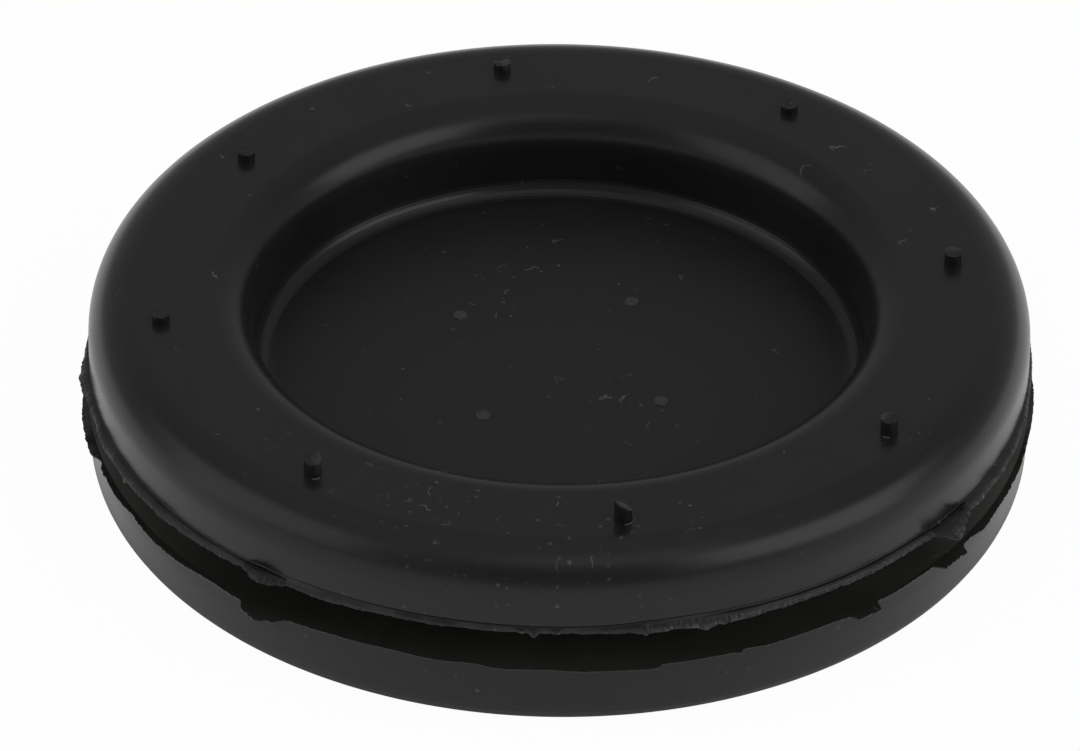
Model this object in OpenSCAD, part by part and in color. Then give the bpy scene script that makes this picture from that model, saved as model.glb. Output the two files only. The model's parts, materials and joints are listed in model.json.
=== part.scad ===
// Blind rubber grommet: a closed, one-piece moulding that snaps into a round panel hole.
// Two flanges with a panel groove between them, a recess in each face, and a thin membrane
// that closes the middle. It stands on its lower flange, and its axis is Z.

/* [Flanges] */
// Diameter of both flanges
flange_d = 48; // [45:0.5:60]
// Thickness of the upper flange
upper_t = 4.0; // [3:0.1:6]
// Thickness of the lower flange
lower_t = 3.7; // [3:0.1:6]
// Radius of the soft outer shoulder of the upper flange
shoulder_r = 2.4; // [0.4:0.1:2.8]
// Radius of the outer bottom edge of the lower flange
foot_r = 1.3; // [0.4:0.1:2.6]

/* [Panel groove] */
// Diameter of the panel hole that the grommet closes
panel_hole_d = 38.2; // [36:0.1:40]
// Thickness of the panel
panel_t = 2.0; // [1:0.1:4]
// Play between the groove and the panel, on the diameter and on the width
panel_play = 0.2; // [0:0.05:0.5]

/* [Recess and membrane] */
// Diameter of the recess in each face
recess_d = 31.2; // [22:0.1:32]
// Depth of the upper recess at its edge
upper_recess_depth = 4.75; // [3.5:0.05:5.5]
// Thickness of the membrane
membrane_t = 1.0; // [0.6:0.1:2]
// Height that the middle of the membrane bulges up
membrane_bulge = 0.3; // [0.1:0.05:0.6]
// Radius of the soft lip around the upper recess
upper_lip_r = 2.2; // [0.4:0.1:3]
// Radius of the lip around the lower recess
lower_lip_r = 1.2; // [0.4:0.1:2.6]
// Fillet where a recess wall meets the membrane
membrane_fillet_r = 0.9; // [0.3:0.1:1.2]

/* [Moulding marks] */
// Number of sprue pips on the upper flange
pip_count = 8; // [4:1:12]
// Diameter of the circle that the pips stand on
pip_circle_d = 40.6; // [36:0.2:42]
// Diameter of a pip
pip_d = 0.85; // [0.4:0.05:1.5]
// Height of a pip
pip_h = 0.6; // [0.2:0.05:1.2]
// Angle of the first pip
first_pip_angle = 99; // [0:1:360]
// Number of low dots on the membrane
dot_count = 4; // [0:1:8]
// Diameter of the circle that the dots lie on
dot_circle_d = 12.7; // [6:0.1:24]
// Diameter of a dot
dot_d = 0.75; // [0.3:0.05:1]
// Height of a dot
dot_h = 0.1; // [0.05:0.05:0.3]
// Angle of the first dot
first_dot_angle = 143; // [0:1:360]
// Width of the flash fin at each parting line
flash_w = 0.35; // [0.1:0.05:0.8]
// Thickness of the flash fins
flash_t = 0.2; // [0.1:0.05:0.4]

/* [Hidden] */
flange_r = flange_d / 2;
recess_r = recess_d / 2;
groove_r = (panel_hole_d - panel_play) / 2;
groove_w = panel_t + panel_play;
upper_rim_z = lower_t + groove_w;
total_h = upper_rim_z + upper_t;
membrane_top_z = total_h - upper_recess_depth;
membrane_low_z = membrane_top_z - membrane_t;
membrane_flat_r = recess_r - membrane_fillet_r;
dot_foot_z = membrane_top_z + membrane_bulge * (1 - pow(dot_circle_d / 2 / membrane_flat_r, 2));
overcut = 1;
$fn = 96;

// The sliver between a square corner at the origin and a quarter circle of radius r that
// rounds it, for a corner whose material lies towards -X and -Y
module corner_sliver(r) {
    difference() {
        translate([-r, -r]) square(r + overcut);
        translate([-r, -r]) circle(r);
        translate([-2 * r, -2 * r]) square([2 * r, r]);
        translate([-2 * r, -2 * r]) square([r, 3 * r + 2 * overcut]);
    }
}

// A recess open upwards from its floor at the origin, with a fillet around its floor
module recess_cut(depth) {
    translate([-overcut, 0]) square([membrane_flat_r + overcut, depth + overcut]);
    translate([0, membrane_fillet_r]) square([recess_r, depth - membrane_fillet_r + overcut]);
    translate([membrane_flat_r, membrane_fillet_r]) circle(membrane_fillet_r);
}

// The bulge of the membrane: half of a low cap of a large circle, which reaches to the fillet
module bulge() {
    bulge_r = (pow(membrane_flat_r, 2) + pow(membrane_bulge, 2)) / (2 * membrane_bulge);
    intersection() {
        translate([0, membrane_bulge - bulge_r]) circle(bulge_r, $fn = 2400);
        translate([-overcut, 0]) square([membrane_flat_r + overcut, membrane_bulge + overcut]);
    }
}

// Half section of the moulding, from the axis outwards
module half_section() {
    difference() {
        union() {
            square([flange_r, lower_t]);
            square([groove_r, total_h]);
            translate([0, upper_rim_z]) square([flange_r, upper_t]);
            translate([0, lower_t - flash_t]) square([flange_r + flash_w, flash_t]);
            translate([0, upper_rim_z]) square([flange_r + flash_w, flash_t]);
        }
        translate([0, membrane_top_z]) difference() {
            recess_cut(upper_recess_depth);
            bulge();
        }
        translate([0, membrane_low_z]) mirror([0, 1]) recess_cut(membrane_low_z);
        translate([0, membrane_low_z]) bulge();
        translate([flange_r, total_h]) corner_sliver(shoulder_r);
        translate([recess_r, total_h]) mirror([1, 0]) corner_sliver(upper_lip_r);
        translate([flange_r, 0]) mirror([0, 1]) corner_sliver(foot_r);
        translate([recess_r, 0]) mirror([1, 0]) mirror([0, 1]) corner_sliver(lower_lip_r);
    }
}

// A ring of short round studs, sunk a little into the face at height z that they stand on
module stud_ring(count, circle_d, d, h, first_angle, z) {
    sunk = 0.3;
    for (i = [0 : count - 1])
        rotate(first_angle + i * 360 / count)
            translate([circle_d / 2, 0, z - sunk]) cylinder(d = d, h = h + sunk);
}

module grommet() {
    color([0.05, 0.05, 0.05]) {
        rotate_extrude() half_section();
        stud_ring(pip_count, pip_circle_d, pip_d, pip_h, first_pip_angle, total_h);
        stud_ring(dot_count, dot_circle_d, dot_d, dot_h, first_dot_angle, dot_foot_z);
    }
}

grommet();
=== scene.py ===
import bmesh
import bpy
import json
import math
from mathutils import Matrix, Vector, noise


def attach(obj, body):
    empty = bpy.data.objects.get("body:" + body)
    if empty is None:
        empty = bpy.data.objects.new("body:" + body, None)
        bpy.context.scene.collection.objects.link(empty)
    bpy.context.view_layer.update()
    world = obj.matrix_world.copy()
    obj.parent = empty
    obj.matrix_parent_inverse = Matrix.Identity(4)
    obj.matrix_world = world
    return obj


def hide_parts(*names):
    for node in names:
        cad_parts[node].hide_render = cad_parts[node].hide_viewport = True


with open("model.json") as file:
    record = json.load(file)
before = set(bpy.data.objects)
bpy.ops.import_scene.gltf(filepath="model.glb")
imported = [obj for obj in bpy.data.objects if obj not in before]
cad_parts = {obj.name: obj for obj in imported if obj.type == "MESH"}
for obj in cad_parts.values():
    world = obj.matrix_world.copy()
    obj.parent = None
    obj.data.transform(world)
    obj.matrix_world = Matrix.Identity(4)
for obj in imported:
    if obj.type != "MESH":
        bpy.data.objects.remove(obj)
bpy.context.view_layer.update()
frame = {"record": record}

# --- Moulded body --------------------------------------------------------------------------------
# The grommet is one piece of black rubber, pressed in a mould that parts at both rims of the panel
# groove. Its section is drawn as a chain of square corners, each corner is rounded by the radius
# that the mould has there, and the chain is turned once round the axis.
mm = 0.001
groove = next(m for m in frame["record"]["mounts"] if m["name"] == "panel_groove")
groove_r = groove["dims"]["r_mm"] * mm
groove_w = groove["dims"]["length_mm"] * mm
groove_mid_z = groove["pos_m"][2]
lower_rim_z = groove_mid_z - groove_w / 2
upper_rim_z = groove_mid_z + groove_w / 2

flange_r = 24.0 * mm
upper_t = 4.0 * mm
top_z = upper_rim_z + upper_t
shoulder_r = 2.4 * mm
foot_r = 1.3 * mm
recess_r = 15.6 * mm
recess_depth = 4.75 * mm
lip_r = 2.2 * mm
lower_lip_r = 1.2 * mm
fillet_r = 0.9 * mm
membrane_t = 1.0 * mm
membrane_top_z = top_z - recess_depth
membrane_low_z = membrane_top_z - membrane_t
membrane_flat_r = recess_r - fillet_r
bulge = 0.3 * mm
groove_fillet_r = 0.3 * mm
flat_margin = 0.15 * mm
# the fin before it is torn, and the V-shaped crease just above the upper rim
fin_w = 0.35 * mm
fin_tip_t = 0.07 * mm
crease = 0.07 * mm
# a faint step in the lower flange's side, where two plates of the mould met
ledge_z = 2.75 * mm
ledge_w = 0.008 * mm
ledge_rise = 0.15 * mm
ledge_fall = 0.4 * mm
turn_steps = 480


def turned(section, steps):
    """A closed solid turned round Z. Each corner has a radius, a height, a rounding and its facets."""
    solid = bmesh.new()
    corners = [solid.verts.new((radius, 0, height)) for radius, height, _, _ in section]
    for a, b in zip(corners, corners[1:]):
        solid.edges.new((a, b))
    for corner, (_, _, rounding, facets) in zip(corners, section):
        if rounding:
            bmesh.ops.bevel(solid, geom=[corner], affect="VERTICES", offset=rounding,
                            segments=facets, profile=0.5, material=-1)
    bmesh.ops.spin(solid, geom=solid.verts[:] + solid.edges[:], cent=(0, 0, 0), axis=(0, 0, 1),
                   dvec=(0, 0, 0), angle=2 * math.pi, steps=steps, use_merge=True,
                   use_duplicate=False)
    bmesh.ops.remove_doubles(solid, verts=solid.verts[:], dist=0.002 * mm)
    rims = [edge for edge in solid.edges if edge.is_boundary]
    bmesh.ops.holes_fill(solid, edges=rims, sides=0)
    bmesh.ops.recalc_face_normals(solid, faces=solid.faces[:])
    return solid


def bulge_at(radius):
    """How far the membrane bulges up at a radius."""
    return bulge * max(0, 1 - (radius / membrane_flat_r) ** 2)


rings = [ring * mm for ring in (1.2, 3.6, 5.85, 6.85, 9.0, 11.0, 12.8, 14.3)]
body = turned([(ring, membrane_top_z, 0, 0) for ring in rings] + [
    (recess_r, membrane_top_z, fillet_r, 8),
    (recess_r, top_z, lip_r, 13),
    (recess_r + lip_r + flat_margin, top_z, 0, 0),
    (flange_r - shoulder_r - flat_margin, top_z, 0, 0),
    (flange_r, top_z, shoulder_r, 13),
    (flange_r, upper_rim_z + 1.7 * crease, 0, 0),
    (flange_r - crease, upper_rim_z + 0.8 * crease, 0, 0),
    (flange_r, upper_rim_z, 0, 0),
    (flange_r + 0.25 * fin_w, upper_rim_z, 0, 0),
    (flange_r + 0.5 * fin_w, upper_rim_z, 0, 0),
    (flange_r + 0.75 * fin_w, upper_rim_z, 0, 0),
    (flange_r + fin_w, upper_rim_z, 0, 0),
    (flange_r + fin_w, upper_rim_z - fin_tip_t, 0, 0),
    (flange_r + 0.5 * fin_w, upper_rim_z - fin_tip_t, 0, 0),
    (groove_r, upper_rim_z, groove_fillet_r, 3),
    (groove_r, lower_rim_z, groove_fillet_r, 3),
    (flange_r, lower_rim_z, 0, 0),
    (flange_r + 0.5 * fin_w, lower_rim_z, 0, 0),
    (flange_r + fin_w, lower_rim_z, 0, 0),
    (flange_r + fin_w, lower_rim_z - fin_tip_t, 0, 0),
    (flange_r + 0.5 * fin_w, lower_rim_z - fin_tip_t, 0, 0),
    (flange_r, lower_rim_z - 2 * fin_tip_t, 0, 0),
    (flange_r, ledge_z + ledge_rise, 0, 0),
    (flange_r + ledge_w, ledge_z, 0, 0),
    (flange_r, ledge_z - ledge_fall, 0, 0),
    (flange_r, 0, foot_r, 10),
    (recess_r, 0, lower_lip_r, 6),
    (recess_r, membrane_low_z, fillet_r, 5),
] + [(ring, membrane_low_z, 0, 0) for ring in reversed(rings)], turn_steps)
for vert in body.verts:
    vert.co.z += bulge_at(vert.co.xy.length)

# --- Flash at the two parting lines --------------------------------------------------------------
# Rubber that crept between the mould plates hangs from both groove rims as a thin fin. It was torn
# off by hand, so its edge is ragged, and one flap was left on it at the right.

# at places round the upper rim: azimuth in degrees, rise of the fin's root over the rim in mm, reach of the
# fin in mm, how steeply it droops at its root and at its edge in degrees, and how pale its edge is painted,
# partly as the grey of torn rubber and partly as a painted highlight where the edge catches light
upper_fin = [
    (0, 0.05, 0.22, 35, 60, 0.0), (60, 0.05, 0.28, 35, 60, 0.0), (120, 0.05, 0.24, 35, 60, 0.0),
    (165, 0.05, 0.18, 35, 60, 0.0), (178, 0.05, 0.16, 30, 50, 0.0), (181, 0.05, 0.28, 30, 50, 0.0),
    (184, 0.05, 0.50, 25, 50, 0.0), (185.5, 0.05, 0.64, 25, 50, 0.0),
    (188.2, 0.05, 0.60, 25, 50, 0.0), (189.6, 0.05, 0.46, 25, 50, 0.0),
    (191.2, 0.05, 0.44, 20, 50, 0.0), (192.2, 0.05, 0.34, 20, 50, 0.0),
    (193.4, 0.05, 0.44, 15, 55, 0.0), (194.4, 0.05, 0.38, 15, 60, 0.1),
    (200, 0.02, 0.58, 20, 65, 0.3), (205.4, 0.02, 0.62, 20, 65, 0.3), (207, 0.02, 0.68, 20, 65, 1.2),
    (209.2, 0.02, 0.60, 20, 65, 0.6), (211, 0.02, 0.54, 20, 65, 0.3), (216, 0.02, 0.58, 20, 65, 0.2),
    (222, 0.03, 0.50, 20, 65, 0.2), (229.8, 0.05, 0.42, 20, 70, 0.0),
    (231.0, 0.10, 0.62, -5, 60, 0.2), (232.5, 0.14, 0.82, -15, 65, 0.3),
    (234.0, 0.14, 0.80, -15, 65, 0.2), (235.6, 0.10, 0.50, 0, 65, 0.0),
    (236.6, 0.14, 0.38, 40, 80, 0.0), (240, 0.18, 0.46, 60, 85, 0.2), (250, 0.21, 0.38, 65, 85, 0.2),
    (258, 0.22, 0.32, 65, 85, 0.2), (265.3, 0.22, 0.28, 65, 85, 0.3), (265.9, 0.20, 0.32, 40, 80, 2.0),
    (266.5, 0.22, 0.28, 60, 85, 0.3), (267.4, 0.20, 0.50, 40, 80, 1.0), (268.2, 0.22, 0.28, 65, 85, 0.2),
    (269.4, 0.22, 0.28, 65, 85, 0.4), (270.1, 0.20, 0.32, 40, 80, 2.0), (270.8, 0.22, 0.28, 65, 85, 0.2),
    (276, 0.24, 0.36, 60, 85, 0.2), (279, 0.28, 0.44, 50, 80, 0.5), (280.0, 0.32, 0.52, 40, 80, 0.6),
    (280.5, 0.34, 0.60, 30, 80, 1.6), (281.0, 0.33, 0.52, 40, 80, 0.6), (284, 0.35, 0.58, 35, 80, 0.9),
    (286.5, 0.33, 0.58, 30, 80, 1.1), (287.8, 0.32, 0.78, 25, 80, 1.2), (289, 0.30, 0.62, 25, 80, 0.9),
    (295, 0.25, 0.52, 10, 80, 0.8), (300, 0.22, 0.46, 5, 80, 0.6), (310, 0.20, 0.48, 5, 80, 0.5),
    (318, 0.18, 0.48, 5, 80, 0.4), (320.2, 0.14, 0.50, 10, 65, 0.0),
    (321.0, 0.05, 0.72, 0, 40, 0.0), (322.4, 0.05, 1.22, 5, 42, 0.1),
    (323.4, 0.05, 1.26, 5, 48, 0.9), (324.4, 0.05, 1.16, 5, 42, 0.8), (325.2, 0.05, 0.98, -5, 30, 0.6),
    (326.3, 0.05, 0.86, -15, 25, 1.8), (327.1, 0.05, 0.66, 5, 45, 1.5),
    (328.5, 0.02, 0.60, 25, 55, 1.3), (335, 0.02, 0.58, 25, 55, 1.3), (341, 0.02, 0.50, 25, 55, 1.1),
    (347, 0.04, 0.36, 30, 60, 0.5), (353, 0.05, 0.22, 35, 60, 0.0), (360, 0.05, 0.22, 35, 60, 0.0),
]
# the lower fin stands out almost level, so only its azimuth and reach are listed
lower_reach = [
    (0, 0.32), (60, 0.28), (120, 0.39), (180, 0.30), (188, 0.46), (194.5, 0.53), (197, 0.18),
    (198.5, 0.37), (206, 0.41), (208.5, 0.30), (210, 0.39), (216, 0.44), (226, 0.30), (229.6, 0.34),
    (231.4, 0.91), (233.2, 1.05), (234.8, 0.80), (237.2, 0.32), (242, 0.14), (250, 0.05), (256, 0.16),
    (260, 0.05), (263, 0.23), (268, 0.18), (276, 0.34), (282, 0.39), (282.6, 0.16), (291.2, 0.23),
    (292, 0.39), (292.6, 0.16), (296, 0.28), (300, 0.21), (306.8, 0.32), (307.5, 0.80), (310.4, 0.83),
    (311.4, 0.23), (320.9, 0.25), (321.7, 0.80), (325.8, 0.80), (327, 0.32), (331, 0.51), (340, 0.39),
    (350, 0.28), (360, 0.32),
]
lower_fin = [(azimuth, 0, reach, 3, 6, 0) for azimuth, reach in lower_reach]


def along(fin, azimuth):
    """The listed values of a fin at an azimuth, blended from the places on either side of it."""
    before, after = next(pair for pair in zip(fin, fin[1:]) if pair[1][0] >= azimuth)
    share = (azimuth - before[0]) / (after[0] - before[0])
    share = share * share * (3 - 2 * share)
    return [a + (b - a) * share for a, b in zip(before[1:], after[1:])]


def tear(place, grain, depth):
    """A signed raggedness of the tearing, with bites about as long as grain."""
    return depth * noise.noise(place / grain)


def near_rim(vert):
    """Whether a vertex is on either fin or at its root."""
    on_edge = vert.co.xy.length > flange_r - 1.5 * crease
    return on_edge and abs(vert.co.z - groove_mid_z) < 0.5 * groove_w + 2.5 * fin_tip_t


fin_verts = {vert for vert in body.verts
             if near_rim(vert) and vert.co.xy.length > flange_r + 0.1 * fin_w}
# the rings' edges are cut finer, so that the tearing has points to move
fin_rings = [edge for edge in body.edges
             if edge.verts[0] in fin_verts and edge.verts[1] in fin_verts
             and abs(edge.verts[0].co.z - edge.verts[1].co.z) < 0.001 * mm
             and abs(edge.verts[0].co.xy.length - edge.verts[1].co.xy.length) < 0.001 * mm]
bmesh.ops.subdivide_edges(body, edges=fin_rings, cuts=3, use_grid_fill=True)

for vert in body.verts:
    if not near_rim(vert):
        continue
    radius = vert.co.xy.length
    share = (radius - flange_r) / fin_w
    is_upper = vert.co.z > groove_mid_z
    azimuth = math.degrees(math.atan2(vert.co.y, vert.co.x)) % 360
    rise, reach, root_droop, edge_droop, _ = along(upper_fin if is_upper else lower_fin, azimuth)
    rim_z = upper_rim_z if is_upper else lower_rim_z
    if share < 0.1:
        vert.co.z += rise * mm
        continue
    below_face = rim_z - vert.co.z
    # the place that the tearing is read at, far enough apart for the two fins to be torn differently
    rim = Vector((vert.co.x, vert.co.y, 0)) * (flange_r / radius)
    rim.z = (5 if is_upper else 11) * mm
    reach *= 1 + tear(rim, 1.3 * mm, 0.12) + tear(rim, 0.35 * mm, 0.1) + tear(rim, 0.12 * mm, 0.1)
    droop = math.radians(root_droop + (edge_droop - root_droop) * share)
    mean_droop = math.radians(root_droop + (edge_droop - root_droop) * share / 2)
    mean_droop += tear(rim + Vector((0, 0, 3 * mm)), 1.6 * mm, 0.25)
    root_t = rise * mm + fin_tip_t if is_upper else 2 * fin_tip_t
    below_face *= (root_t + (fin_tip_t - root_t) * share) / fin_tip_t
    below_face -= share * tear(rim + Vector((0, 0, 7 * mm)), 0.16 * mm, 0.03 * mm)
    outwards = share * reach * mm * math.cos(mean_droop) - below_face * math.sin(droop)
    vert.co.x *= (flange_r + outwards) / radius
    vert.co.y *= (flange_r + outwards) / radius
    vert.co.z = rim_z + rise * mm - share * reach * mm * math.sin(mean_droop)
    vert.co.z -= below_face * math.cos(droop)

# --- Sprue pips and gate scars -------------------------------------------------------------------
# The rubber was fed through eight small gates in the upper flange and four in the membrane. On the
# flange each gate left a short round pip with a torn top, and on the membrane a flat round scar.
pip_r = 0.44 * mm
# how much too tall a pip is turned before its top is cut off, how deep pips and scars reach into the body,
# and the radius of the small round face that closes the middle of each
spare = 0.35 * mm
sunk = 0.3 * mm
core_r = 0.1 * mm
# in turn round the flange: azimuth in degrees, distance from the axis and height in mm, then the lean
# and fall of the torn top in degrees
pips = [
    (99, 20.1, 0.46, 4, 90), (145.4, 19.8, 0.48, 3, 270), (189.7, 20.45, 0.46, 4, 250),
    (233.5, 20.4, 0.88, 17, 265), (279.2, 20.2, 0.76, 30, 30), (323.1, 20.6, 0.82, 5, 250),
    (7, 20.2, 0.64, 3, 270), (53.8, 20.1, 0.42, 4, 200),
]
# on some pips, the side in degrees where the torn top gets a painted highlight, and the side and half the
# spread of a scrap of flash left round the foot
highlight_side = {0: 0, 3: 0, 5: 130, 6: 90}
scraps = {3: (-70, 28), 4: (-42, 38), 5: (-106, 20)}
# the outline of a scrap: distance out from the pip and height over the flange, in mm; it drops out of
# sight where a pip has no scrap
scrap_outline = [(0, -0.02), (0.06, 0.02), (0.12, 0.05), (0.18, 0.03), (0.22, -0.06)]
scrap_w = 0.22 * mm
scrap_drop = 0.12 * mm
scar_circle_r = 6.35 * mm
scar_r = 0.37 * mm
scar_edge_w = 0.06 * mm
scar_azimuths = [143.8, 54.0, 232.8, 324.9]
gate_marks = bmesh.new()
pip_axes = []
scar_places = []


def weld(solid, place):
    """Moves a finished solid to its place and adds it to the marks that are joined to the body."""
    bmesh.ops.transform(solid, matrix=place, verts=solid.verts[:])
    part = bpy.data.meshes.new("part")
    solid.to_mesh(part)
    gate_marks.from_mesh(part)
    bpy.data.meshes.remove(part)
    solid.free()


def on_circle(radius, azimuth, height):
    """The place at an azimuth in degrees on a circle round the axis."""
    azimuth = math.radians(azimuth)
    return Vector((radius * math.cos(azimuth), radius * math.sin(azimuth), height))


def angle_from(side, x, y):
    """The angle in degrees between a side and the direction to a place."""
    return abs((math.degrees(math.atan2(y, x)) - side + 180) % 360 - 180)


for index, (azimuth, distance, height, slant, fall) in enumerate(pips):
    height *= mm
    pip = turned([(core_r, height + spare, 0, 0), (pip_r, height + spare, 0, 0)]
                 + [(pip_r + out * mm, rise * mm, 0, 0) for out, rise in scrap_outline]
                 + [(pip_r + scrap_w, -sunk, 0, 0), (core_r, -sunk, 0, 0)], 36)
    side, spread = scraps.get(index, (0, -1))
    for vert in pip.verts:
        outside = angle_from(side, vert.co.x, vert.co.y) > spread
        if vert.co.xy.length > pip_r + 0.03 * mm and vert.co.z > -0.1 * mm and outside:
            vert.co.z -= scrap_drop
    tilt = Matrix.Rotation(math.radians(fall), 3, "Z") @ Vector((math.sin(math.radians(slant)), 0,
                                                                 math.cos(math.radians(slant))))
    bmesh.ops.bisect_plane(pip, geom=pip.verts[:] + pip.edges[:] + pip.faces[:],
                           plane_co=(0, 0, height), plane_no=tilt, clear_outer=True)
    cut = bmesh.ops.holes_fill(pip, edges=[e for e in pip.edges if e.is_boundary], sides=0)
    for inset in (0.08 * mm, 0.12 * mm):
        bmesh.ops.inset_region(pip, faces=cut["faces"], thickness=inset, depth=0.0,
                               use_even_offset=True)
    top = [vert for vert in pip.verts if vert.co.z > 0.4 * height]
    for vert in top:
        vert.co.z += tear(vert.co + Vector((7 * index * mm, 0, 0)), 0.3 * mm, 0.06 * mm)
    pip_axes.append(on_circle(distance * mm, azimuth, top_z))
    weld(pip, Matrix.Translation(pip_axes[-1]))

for index, azimuth in enumerate(scar_azimuths):
    scar = turned([
        (core_r, 0.09 * mm, 0, 0), (0.6 * scar_r, 0.08 * mm, 0, 0),
        (scar_r, 0.05 * mm, 0.05 * mm, 2), (scar_r + scar_edge_w, -0.02 * mm, 0, 0),
        (scar_r + scar_edge_w, -sunk, 0, 0), (core_r, -sunk, 0, 0),
    ], 24)
    for vert in scar.verts:
        if vert.co.z > 0:
            vert.co.z += tear(vert.co + Vector((0, 9 * index * mm, 0)), 0.22 * mm, 0.05 * mm)
    scar_places.append(on_circle(scar_circle_r, azimuth, membrane_top_z + bulge_at(scar_circle_r)))
    weld(scar, Matrix.Translation(scar_places[-1]))

# the marks and the body become one closed skin
moulding_mesh = bpy.data.meshes.new("grommet_moulding")
body.to_mesh(moulding_mesh)
moulding = bpy.data.objects.new("grommet_moulding", moulding_mesh)
bpy.context.scene.collection.objects.link(moulding)
marks_mesh = bpy.data.meshes.new("gate_marks")
gate_marks.to_mesh(marks_mesh)
marks = bpy.data.objects.new("gate_marks", marks_mesh)
bpy.context.scene.collection.objects.link(marks)
joined = moulding.modifiers.new("joined", "BOOLEAN")
joined.operation = "UNION"
joined.solver = "MANIFOLD"
joined.object = marks
graph = bpy.context.evaluated_depsgraph_get()
moulding.data = bpy.data.meshes.new_from_object(moulding.evaluated_get(graph))
moulding.data.name = "grommet_moulding"
moulding.modifiers.clear()
bpy.data.objects.remove(marks)
for face in moulding.data.polygons:
    face.use_smooth = True
moulding.data.set_sharp_from_angle(angle=math.radians(9))

# how pale the rubber is painted at each vertex: the grey of torn rubber on the upper fin and the scars, and
# a painted highlight on the fin's lit edges, the scraps and one side of some pips' tops
torn_and_highlight = moulding.data.attributes.new("torn_and_highlight", "FLOAT", "POINT")
for vert in moulding.data.vertices:
    x, y, z = vert.co
    radius = vert.co.xy.length
    azimuth = math.degrees(math.atan2(y, x)) % 360
    if radius > flange_r + 0.01 * mm and z > groove_mid_z:
        rise, reach, _, _, pale_and_highlight = along(upper_fin, azimuth)
        out = math.hypot(radius - flange_r, upper_rim_z + rise * mm - z) / (reach * mm)
        flecks = tear(vert.co, 0.25 * mm, 1.2) + tear(vert.co, 0.7 * mm, 0.8) + 0.6
        torn_and_highlight.data[vert.index].value = pale_and_highlight * min(1, max(0, 3 * out - 1.7)) * min(1, max(0, flecks))
    elif radius < scar_circle_r + 2 * scar_r and z > membrane_top_z:
        away = min((vert.co.xy - scar_place.xy).length for scar_place in scar_places)
        torn_and_highlight.data[vert.index].value = 0.4 if away < 1.05 * scar_r else 0.0
    elif z > top_z + 0.005 * mm:
        index = min(range(len(pips)), key=lambda nearest: (pip_axes[nearest] - vert.co).length)
        away = vert.co - pip_axes[index]
        # scraps of flash are painted pale, as the grey of torn flash and as a painted highlight; on some
        # pips one side of the torn top gets a painted highlight
        if away.xy.length > pip_r + 0.03 * mm:
            torn_and_highlight.data[vert.index].value = 0.5
        elif away.z > 0.3 * mm and index in highlight_side:
            off = angle_from(highlight_side[index], away.x, away.y)
            share = away.xy.length / pip_r * math.cos(math.radians(off))
            share += tear(vert.co, 0.25 * mm, 0.6)
            torn_and_highlight.data[vert.index].value = 0.45 * min(1, max(0, share))
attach(moulding, "root")
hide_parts("grommet")

# --- Black rubber --------------------------------------------------------------------------------
# Carbon-black rubber with the satin skin of a polished mould. It is a little uneven in tone, grey and rough
# where it was torn, and it carries a few specks of dust and curls of lint. Painted light lightens the shade
# in its groove and on the lower fin, and a painted highlight lies on the lit torn edges of the upper fin,
# on the scraps and on one side of some pips' tops.


class Wire:
    """One output of a shader node. Sums, products and comparisons of wires add their own Math nodes."""

    def __init__(self, tree, socket=None):
        self.tree = tree
        self.socket = socket

    def node(self, kind, settings=None, inputs=None, output=0):
        """A new node of a kind: its settings are made first, then its input values and links."""
        made = self.tree.nodes.new(kind)
        for name, value in (settings or {}).items():
            setattr(made, name, value)
        for name, value in (inputs or {}).items():
            if isinstance(value, Wire):
                self.tree.links.new(value.socket, made.inputs[name])
            else:
                made.inputs[name].default_value = value
        return Wire(self.tree, made.outputs[output])

    def math(self, operation, *others):
        return self.node("ShaderNodeMath", {"operation": operation},
                         dict(enumerate((self,) + others)))

    def __add__(self, other):
        return self.math("ADD", other)

    __radd__ = __add__

    def __sub__(self, other):
        return self.math("SUBTRACT", other)

    def __rsub__(self, other):
        return self.math("MULTIPLY", -1.0).math("ADD", other)

    def __mul__(self, other):
        return self.math("MULTIPLY", other)

    __rmul__ = __mul__

    def __gt__(self, other):
        return self.math("GREATER_THAN", other)

    def __lt__(self, other):
        return self.math("LESS_THAN", other)

    def vector(self, operation, *others):
        output = 1 if operation in ("DOT_PRODUCT", "LENGTH") else 0
        return self.node("ShaderNodeVectorMath", {"operation": operation},
                         dict(enumerate((self,) + others)), output)

    def length(self):
        return self.vector("LENGTH")

    def axis(self, name):
        return self.node("ShaderNodeSeparateXYZ", {}, {0: self}, name)

    def channel(self, name):
        return self.node("ShaderNodeSeparateColor", {}, {0: self}, name)

    def part(self, name):
        """Another output of the same node."""
        return Wire(self.tree, self.socket.node.outputs[name])

    def output(self, kind, surface):
        """The tree's output node, fed by a surface."""
        made = self.tree.nodes.new(kind)
        self.tree.links.new(surface.socket, made.inputs["Surface"])

    def step(self, low, high):
        """0 at low and 1 at high, with a smooth rise between; low may be the larger."""
        return self.node("ShaderNodeMapRange", {"interpolation_type": "SMOOTHSTEP"},
                         {"Value": self, "From Min": low, "From Max": high})

    def tint(self, colour, other):
        """colour where this wire is 0, and the other colour where it is 1."""
        return self.node("ShaderNodeMix", {"data_type": "RGBA"}, {0: self, 6: colour, 7: other}, 2)

    def noise(self, size, detail=2.0):
        """A cloudy pattern on this place, with patches of about that size."""
        return self.node("ShaderNodeTexNoise", {}, {"Vector": self, "Scale": 1 / size,
                                                    "Detail": detail})

    def cells(self, size, dimensions):
        """The distance to the nearest of many scattered points, which lie about that size apart."""
        return self.node("ShaderNodeTexVoronoi", {"voronoi_dimensions": dimensions},
                         {"Vector": self, "Scale": 1 / size})


rubber = bpy.data.materials.new("black_rubber")
rubber.use_nodes = True
rubber.node_tree.nodes.clear()
start = Wire(rubber.node_tree)
place = start.node("ShaderNodeTexCoord", output="Object")
upwards = start.node("ShaderNodeTexCoord", output="Normal").axis("Z")
radius = place.vector("MULTIPLY", (1, 1, 0)).length()
height = place.axis("Z")

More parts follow.
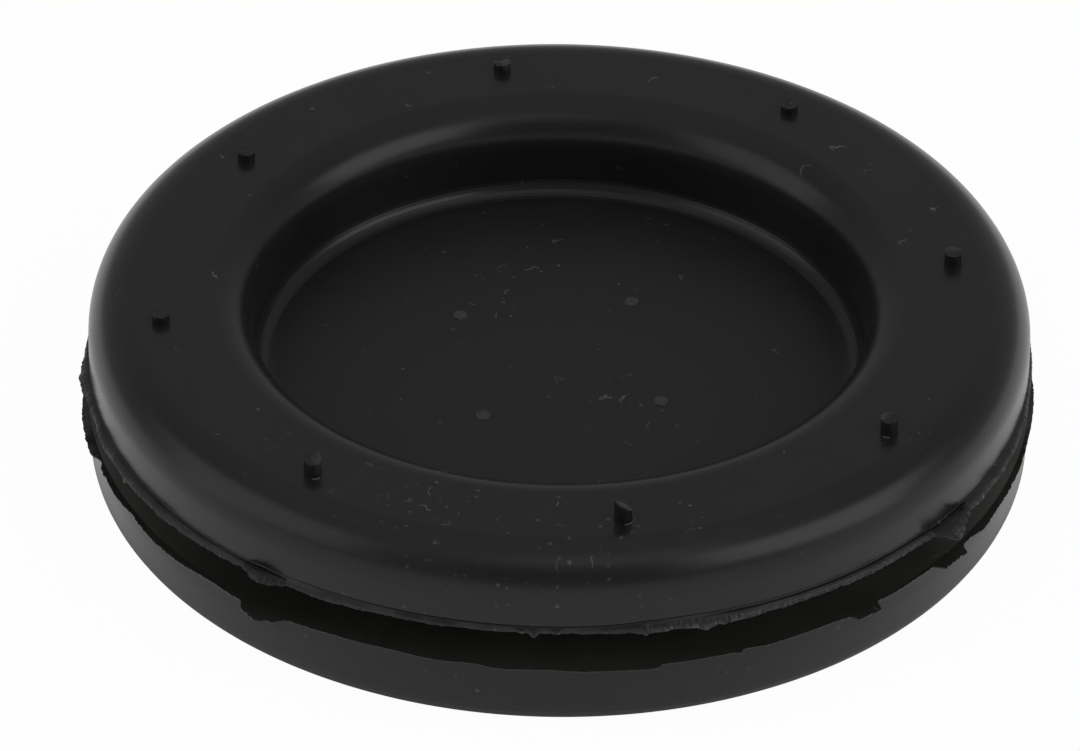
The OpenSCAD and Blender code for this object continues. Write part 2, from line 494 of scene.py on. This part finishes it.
# the skin, slightly mottled
mottle = place.noise(5 * mm, 4.0).step(0.3, 0.7)
grain = place.noise(0.12 * mm, 3.0)
colour = mottle.tint((0.0088, 0.0089, 0.0091, 1), (0.0098, 0.0099, 0.0101, 1))

# painted light in the groove, which is also a little duller: its shade is lightened by paler colours, paler
# deep inside it and palest round its sides and back
painted_groove_light_dim = (0.019, 0.0185, 0.017, 1)
painted_groove_light_deep = (0.050, 0.049, 0.044, 1)
painted_groove_light_side = (0.085, 0.083, 0.075, 1)
in_groove = radius.step(flange_r + 0.12 * mm, flange_r + 0.03 * mm)
in_groove *= radius.step(groove_r - 1.0 * mm, groove_r - 0.5 * mm)
in_groove *= height.step(upper_rim_z + 0.05 * mm, upper_rim_z - 0.15 * mm)
in_groove *= height.step(lower_rim_z - 0.1 * mm, lower_rim_z - 0.03 * mm)
painted_groove_light = radius.step(flange_r, flange_r - 3 * mm).tint(painted_groove_light_dim, painted_groove_light_deep)
painted_groove_light = place.axis("Y").step(-19 * mm, -6 * mm).tint(painted_groove_light, painted_groove_light_side)
colour = in_groove.tint(colour, painted_groove_light)

# the two fins, with fine streaks where they were stretched and torn
beyond = radius.step(flange_r + 0.03 * mm, flange_r + 0.12 * mm)
on_fin = beyond * (height > groove_mid_z)
on_low_fin = beyond * (height < groove_mid_z) * (height > lower_rim_z - 0.5 * mm)
# the lower fin, in the shade under the upper flange, gets the dim groove colour as painted light that
# lightens its shade
colour = on_low_fin.tint(colour, painted_groove_light_dim)
streaks = place.vector("MULTIPLY", (1, 1, 0.1)).noise(0.14 * mm, 3.0)
# the vertex paleness gives the grey of torn rubber and, at its palest on the fin edges, scraps and pip
# tops, a painted highlight
torn_and_highlight_amount = start.node("ShaderNodeAttribute", {"attribute_name": "torn_and_highlight"}, output="Fac")
torn_and_highlight_amount *= 1 - on_fin * streaks.step(0.55, 0.4)
torn_and_highlight_grey = place.noise(0.15 * mm, 2.0).tint((0.035, 0.035, 0.035, 1), (0.11, 0.11, 0.107, 1))
torn_and_highlight_grey = torn_and_highlight_amount.step(0.8, 1.8).tint(torn_and_highlight_grey, (0.30, 0.30, 0.29, 1))
torn_and_highlight_share = torn_and_highlight_amount.math("MINIMUM", 1.0)
colour = torn_and_highlight_share.tint(colour, torn_and_highlight_grey)

# where dust and lint gather: a little all over, and more round a few places, given by x and y in mm
linty = 0.045
for x, y in ((-6.0, -16.8), (-8.0, -20.0), (-4.0, 6.0), (3.0, -5.0), (-1.5, -23.0), (5.5, -22.5)):
    spot = place.vector("SUBTRACT", (x * mm, y * mm, 0)).vector("MULTIPLY", (1, 1, 0))
    linty = 0.45 * spot.length().step(5.5 * mm, 2 * mm) + linty

# specks of dust: one at most in each cell, crumbled in outline, on what faces up or sideways
cell = 0.5 * mm
crumbled = place.noise(0.12 * mm, 2.0).part("Color").vector("SUBTRACT", (0.5, 0.5, 0.5))
crumbled = place.vector("ADD", crumbled.vector("MULTIPLY", (0.3 * mm, 0.3 * mm, 0.3 * mm)))
speck = crumbled.cells(cell, "3D")
speck_kind = speck.part("Color")
speck_r = 0.07 * mm + 0.09 * mm * speck_kind.channel("Green")
dusty = radius.step(19 * mm, 13 * mm).math("MAXIMUM", place.axis("Y").step(-8 * mm, -14 * mm))
crowd = place.noise(7 * mm, 2.0).step(0.35, 0.75) * 0.15 + 0.6 * linty
crowd *= 0.15 + 0.85 * dusty
present = (crowd > speck_kind.channel("Red")) * upwards.step(-0.5, -0.1)
speck_mask = (speck * cell).step(speck_r, 0) * present
brightness = speck_kind.channel("Blue")
speck_grey = (brightness * brightness).tint((0.018, 0.018, 0.018, 1), (0.10, 0.10, 0.098, 1))
colour = speck_mask.tint(colour, speck_grey)

# curls of lint: in some cells, half of a thin ring with a wavy course, only on what faces up
bend = place.noise(0.9 * mm, 2.0).part("Color").vector("SUBTRACT", (0.5, 0.5, 0.5))
bent = place.vector("ADD", bend.vector("MULTIPLY", (1.2 * mm, 1.2 * mm, 0)))
lint = bent.cells(1.6 * mm, "2D")
lint_kind = lint.part("Color")
away = bent.vector("SUBTRACT", lint.part("Position")).vector("MULTIPLY", (1, 1, 0))
lint_r = 0.08 * mm + 0.22 * mm * lint_kind.channel("Green")
thread = (away.length() - lint_r).math("ABSOLUTE").step(0.08 * mm, 0)
half = away.vector("DOT_PRODUCT", lint_kind.vector("SUBTRACT", (0.5, 0.5, 0.5)))
thread *= half.step(0, 0.03 * mm)
thread *= (linty > lint_kind.channel("Red")) * upwards.step(0.5, 0.8)
lint_grey = lint_kind.channel("Blue").tint((0.018, 0.018, 0.018, 1), (0.085, 0.085, 0.083, 1))
colour = thread.tint(colour, lint_grey)

# torn rubber and dust are dull, the membrane is duller than the flanges, and the skin is finely grained
dull = torn_and_highlight_share.math("MAXIMUM", 0.3 * in_groove).math("MAXIMUM", speck_mask)
dull = dull.math("MAXIMUM", 0.3 * on_fin)
on_membrane = radius.step(15.2 * mm, 14.2 * mm) * height.step(top_z - 3 * mm, top_z - 4 * mm)
roughness = 0.235 + 0.03 * mottle + 0.04 * grain + 0.175 * on_membrane + 0.4 * dull
relief = start.node("ShaderNodeBump", {}, {"Height": grain + 14 * on_fin * streaks, "Strength": 0.25,
                                           "Distance": 0.01 * mm})
shader = start.node("ShaderNodeBsdfPrincipled", {}, {
    "Base Color": colour, "Roughness": roughness, "Normal": relief, "Specular IOR Level": 0.26})
start.output("ShaderNodeOutputMaterial", shader)
moulding.data.materials.clear()
moulding.data.materials.append(rubber)

# --- Floor ---------------------------------------------------------------------------------------
# A wide sheet of white board that the grommet stands on. It looks evenly white, in the rubber's gloss
# too, and it keeps a faint shadow round the foot.
floor_bmesh = bmesh.new()
bmesh.ops.create_grid(floor_bmesh, x_segments=1, y_segments=1, size=4.0)
floor_mesh = bpy.data.meshes.new("floor")
floor_bmesh.to_mesh(floor_mesh)
floor_bmesh.free()
floor = bpy.data.objects.new("floor", floor_mesh)
bpy.context.scene.collection.objects.link(floor)
board = bpy.data.materials.new("white_board")
board.use_nodes = True
board.node_tree.nodes.clear()
tree = Wire(board.node_tree)
matte = tree.node("ShaderNodeBsdfDiffuse", {}, {"Color": (0.95, 0.95, 0.95, 1)})
white = tree.node("ShaderNodeEmission", {}, {"Color": (1, 1, 1, 1), "Strength": 1.0})
seen = tree.node("ShaderNodeLightPath", output="Is Camera Ray")
mirrored = tree.node("ShaderNodeLightPath", output="Is Glossy Ray")
clear = tree.node("ShaderNodeTexCoord", output="Object").length().step(23.6 * mm, 25.2 * mm)
share = 0.97 * seen + 0.9 * mirrored * clear
mixed = tree.node("ShaderNodeMixShader", {}, {0: share, 1: matte, 2: white})
tree.output("ShaderNodeOutputMaterial", mixed)
floor_mesh.materials.append(board)

# --- Lamps and surroundings ----------------------------------------------------------------------
# Two broad soft boxes stand high on the left and right of the table, and a small one hangs close in
# front. The room is white at the height of the table and darker above.


def soft_box(name, azimuth, elevation, roll, distance, width, height, glow):
    """A rectangular lamp that faces the grommet. Its glow is its own radiance."""
    lamp = bpy.data.lights.new(name, "AREA")
    lamp.shape = "RECTANGLE"
    lamp.size = width
    lamp.size_y = height
    lamp.energy = glow * math.pi * width * height
    stand = bpy.data.objects.new(name, lamp)
    bpy.context.scene.collection.objects.link(stand)
    turn = Matrix.Rotation(math.radians(azimuth + 90), 4, "Z")
    turn @= Matrix.Rotation(math.radians(90 - elevation), 4, "X")
    turn @= Matrix.Translation((0, 0, distance))
    stand.matrix_world = turn @ Matrix.Rotation(math.radians(roll), 4, "Z")


soft_box("right_box", -23, 35, -28, 1.0, 0.9, 0.6, 1.85)
soft_box("front_box", -70, 66, 0, 0.16, 0.09, 0.06, 0.4)
soft_box("left_box", 192, 31, 25, 1.0, 0.85, 0.7, 0.98)

world = bpy.data.worlds.new("room")
world.use_nodes = True
world.node_tree.nodes.clear()
room = Wire(world.node_tree)
seen = room.node("ShaderNodeLightPath", output="Is Camera Ray")
towards = room.node("ShaderNodeTexCoord", output="Generated")
low = towards.axis("Z").step(0.32, 0.05) * towards.axis("Y").step(0.5, -0.1)
overhead = towards.axis("Z").step(0.7, 0.95)
dark_gap = towards.vector("DOT_PRODUCT", (0.08, -0.8, 0.59)).step(0.84, 0.98)
glow = 0.35 + 0.6 * low + 0.22 * overhead - 0.16 * dark_gap
sky = seen.math("MAXIMUM", glow)
background = room.node("ShaderNodeBackground", {}, {"Color": sky, "Strength": 1.0})
room.output("ShaderNodeOutputWorld", background)
bpy.context.scene.world = world

# --- Camera --------------------------------------------------------------------------------------
# A long lens on a stand in front of the table, about 35 degrees above it. It is aimed a little below the
# centre of the upper flange's face, and it leans by half a degree.
camera = bpy.data.cameras.new("camera")
camera.lens = 330
camera.sensor_width = 36
camera.clip_start = 0.05
eye = bpy.data.objects.new("camera", camera)
bpy.context.scene.collection.objects.link(eye)
view_elevation = math.radians(34.84)
view_roll = math.radians(0.51)
view_distance = 503.4 * mm
up = Vector((0, math.sin(view_elevation), math.cos(view_elevation)))
back = Vector((0, -math.cos(view_elevation), math.sin(view_elevation)))
top_centre = Vector((0, 0, top_z))
aim = top_centre - 0.96 * mm * Vector((1, 0, 0)) - 4.56 * mm * up
eye_place = top_centre + view_distance * back
look = (eye_place - aim).to_track_quat("Z", "Y").to_matrix().to_4x4()
eye.matrix_world = Matrix.Translation(eye_place) @ look @ Matrix.Rotation(view_roll, 4, "Z")
bpy.context.scene.camera = eye
bpy.context.scene.view_settings.view_transform = "Standard"
